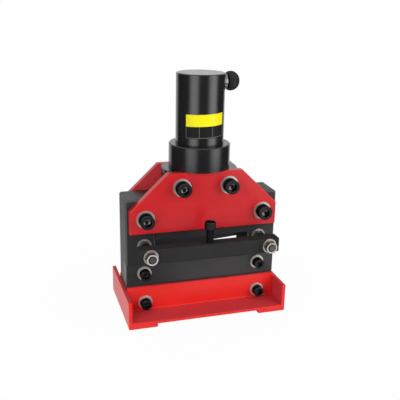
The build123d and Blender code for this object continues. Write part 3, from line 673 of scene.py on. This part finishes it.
# Moulded rubber with the mould's matt skin: a dull deep black, darkest between the ribs.
cap_rubber = moulded_rubber("moulded_cap_rubber", "#0F0F10", "#181819", roughness=0.6)
cap_length = cap_hi.x - cap_lo.x
cap_r = 0.01585
dome_r = 0.0145
dome_z = cap_length - dome_r
bore_r = 0.0096
bore_end = 0.012
rim_z = -0.0002
rim_round = [(0.0138, rim_z), (0.0144, 0.0002), (0.0149, 0.001), (0.0154, 0.0025)]
outline = [(0, bore_end), (bore_r, bore_end), (bore_r, rim_z)] + rim_round
outline += [(cap_r - dome_r + dome_r * math.cos(math.radians(slope)),
             dome_z + dome_r * math.sin(math.radians(slope))) for slope in range(0, 91, 9)]
outline.append((0, cap_length))
ribs = 24
rib_steps = 6
rib_depth = 0.0008
rib_foot = 0.001
rib_least_r = 0.3 * cap_r
slack = 1e-5
cap = bmesh.new()
lathe(cap, outline, ribs * rib_steps)
bmesh.ops.remove_doubles(cap, verts=cap.verts, dist=1e-7)
for vert in cap.verts:
    reach = vert.co.xy.length
    in_bore = reach < bore_r + slack and vert.co.z < bore_end + slack
    if vert.co.z > rib_foot and reach > rib_least_r and not in_bore:
        wave = 0.5 - 0.5 * math.cos(ribs * math.atan2(vert.co.y, vert.co.x))
        vert.co.xy *= 1 - rib_depth * wave / reach
facing_right = Matrix.Rotation(math.pi / 2, 4, "Y")
bmesh.ops.transform(cap, verts=cap.verts,
                    matrix=Matrix.Translation((cap_lo.x, cap_mid.y, cap_mid.z)) @ facing_right)
make_piece(cap, "moulded_dust_cap", [cap_rubber], "cap_rubber", "dust_cap", "dust_cap")


# Studio: a white floor, tall softboxes on both sides of the camera, one over the top, and one behind
# that only fills. The floor and the world show as white, and the floor keeps the shadow.
scene = bpy.context.scene
scene.view_settings.view_transform = "Standard"


def seen_directly(tree_owner):
    """1 for rays from the camera and for reflected and refracted views, 0 for light that scatters."""
    rays = add_node(tree_owner, "LightPath")
    mirror = add_node(tree_owner, "Math", {0: rays.outputs["Is Camera Ray"],
                                           1: rays.outputs["Is Glossy Ray"]}, operation="MAXIMUM")
    return add_node(tree_owner, "Math", {0: mirror.outputs[0], 1: rays.outputs["Is Transmission Ray"]},
                    operation="MAXIMUM").outputs[0]


def lay_out(bm, name, finish):
    """Turns a bmesh into part of the stage."""
    mesh = to_mesh(bm, name)
    mesh.materials.append(finish)
    backdrop = bpy.data.objects.new(name, mesh)
    scene.collection.objects.link(backdrop)
    return backdrop


# White paper, matt: it shows as plain white, with a trace of shade round the base.
floor_reach = 4.0
shaded_to = 0.2
white_from = 0.6
white_share = 0.97
floor_paper, place = start_finish("white_paper_floor")
matt = add_node(floor_paper, "BsdfDiffuse", {"Color": srgb("#E6E6E6")})
white = add_node(floor_paper, "Emission", {"Color": srgb("#FFFFFF"), "Strength": 1.0})
away = add_node(floor_paper, "VectorMath", {0: place}, operation="LENGTH")
fade = add_node(floor_paper, "MapRange", {"Value": away.outputs["Value"], "From Min": shaded_to,
                                          "From Max": white_from, "To Min": white_share, "To Max": 1.0})
share = add_node(floor_paper, "Math", {0: fade.outputs["Result"], 1: seen_directly(floor_paper)},
                 operation="MULTIPLY")
blend = add_node(floor_paper, "MixShader", {0: share.outputs[0], 1: matt.outputs[0], 2: white.outputs[0]})
add_node(floor_paper, "OutputMaterial", {"Surface": blend.outputs[0]})
floor_bm = bmesh.new()
bmesh.ops.create_grid(floor_bm, x_segments=1, y_segments=1, size=floor_reach)
lay_out(floor_bm, "floor", floor_paper)

# Black velvet on the studio floor and behind the camera, seen only as the dark in reflections.
velvet = start_finish("black_velvet")[0]
nap = add_node(velvet, "BsdfDiffuse", {"Color": srgb("#3A3A3A")})
add_node(velvet, "OutputMaterial", {"Surface": nap.outputs[0]})
velvet_z = 0.004
velvet_near = 0.5
velvet_far = 2.5
velvet_top = 1.5
velvet_start = Matrix.Rotation(math.radians(-233), 4, "Z")
velvet_sweep = math.radians(268)
velvet_bm = bmesh.new()
velvet_edge = [velvet_bm.verts.new(velvet_start @ Vector((reach, 0, height)))
               for reach, height in ((velvet_near, velvet_z), (velvet_far, velvet_z),
                                     (velvet_far, velvet_top))]
velvet_edge += [velvet_bm.edges.new(pair) for pair in zip(velvet_edge, velvet_edge[1:])]
bmesh.ops.spin(velvet_bm, geom=velvet_edge, cent=(0, 0, 0), axis=(0, 0, 1), angle=velvet_sweep,
               steps=60)
# A small cloth lies on the left in front, so that the black faces fall off towards the left.
cloth_middle = (-0.185, -0.165, velvet_z)
cloth_width = 0.33
cloth_depth = 0.15
bmesh.ops.create_grid(velvet_bm, x_segments=1, y_segments=1, size=0.5,
                      matrix=Matrix.Translation(cloth_middle)
                      @ Matrix.Diagonal((cloth_width, cloth_depth, 1, 1)))
velvet_floor = lay_out(velvet_bm, "velvet", velvet)
for ray in ("camera", "diffuse", "transmission", "volume_scatter", "shadow"):
    setattr(velvet_floor, "visible_" + ray, False)

studio = bpy.data.worlds.new("white_studio")
studio.use_nodes = True
studio.node_tree.nodes.clear()
room_light = 0.25
level = add_node(studio, "MapRange", {"Value": seen_directly(studio), "To Min": room_light, "To Max": 1.0})
sky = add_node(studio, "Background", {"Color": srgb("#FFFFFF"), "Strength": level.outputs["Result"]})
add_node(studio, "OutputWorld", {"Surface": sky.outputs[0]})
scene.world = studio


def softbox(name, centre, target, width, height, strips, shows=True):
    """Lamp that faces a target, in upright strips, each with its brightness as seen in a mirror; one that
    doesn't show is left out of reflections."""
    way = Vector(target) - Vector(centre)
    stand = Matrix.Translation(centre) @ way.to_track_quat("-Z", "Y").to_matrix().to_4x4()
    step = width / len(strips)
    for number, radiance in enumerate(strips):
        lamp = bpy.data.lights.new(name, "AREA")
        lamp.shape = "RECTANGLE"
        lamp.size = step
        lamp.size_y = height
        lamp.energy = radiance * math.pi * step * height
        box = bpy.data.objects.new(name, lamp)
        box.matrix_world = stand @ Matrix.Translation(((number + 0.5) * step - width / 2, 0, 0))
        box.visible_camera = False
        box.visible_glossy = shows
        scene.collection.objects.link(box)


# The lamps beside the camera are brightest in the middle, like a bulb behind cloth.
lamp_z = 0.37
softbox("softbox_left", (-0.426, -0.414, lamp_z), (0, 0, lamp_z), width=0.616, height=0.55,
        strips=(0.4, 1.8, 2.9, 3.2, 3.0, 2.2, 0.5))
softbox("softbox_right", (0.414, -0.426, lamp_z), (0, 0, lamp_z), width=0.616, height=0.55,
        strips=(0.6, 2.2, 3.3, 3.7, 3.4, 2.2, 0.7))
softbox("softbox_top", (0, -0.1, 1.3), (0, 0, 0), width=1.0, height=1.0, strips=(0.3,))
softbox("softbox_rear", (0, 1.1, 0.7), (0, 0, 0.2), width=0.8, height=0.8, strips=(1.8,), shows=False)

# The camera stands in front, to the left and above, and leans a little, as it did for the photograph.
camera_data = bpy.data.cameras.new("photograph_view")
camera_data.sensor_width = 36.0
camera_data.lens = 56.207
camera = bpy.data.objects.new("photograph_view", camera_data)
camera_place = Matrix.Translation((-0.29848, -0.953136, 0.511417))
pan = Matrix.Rotation(math.radians(-17.4296), 4, "Z")
tilt = Matrix.Rotation(math.radians(72.1143), 4, "X")
lean = Matrix.Rotation(math.radians(1.1962), 4, "Z")
camera.matrix_world = camera_place @ pan @ tilt @ lean
scene.collection.objects.link(camera)
scene.camera = camera
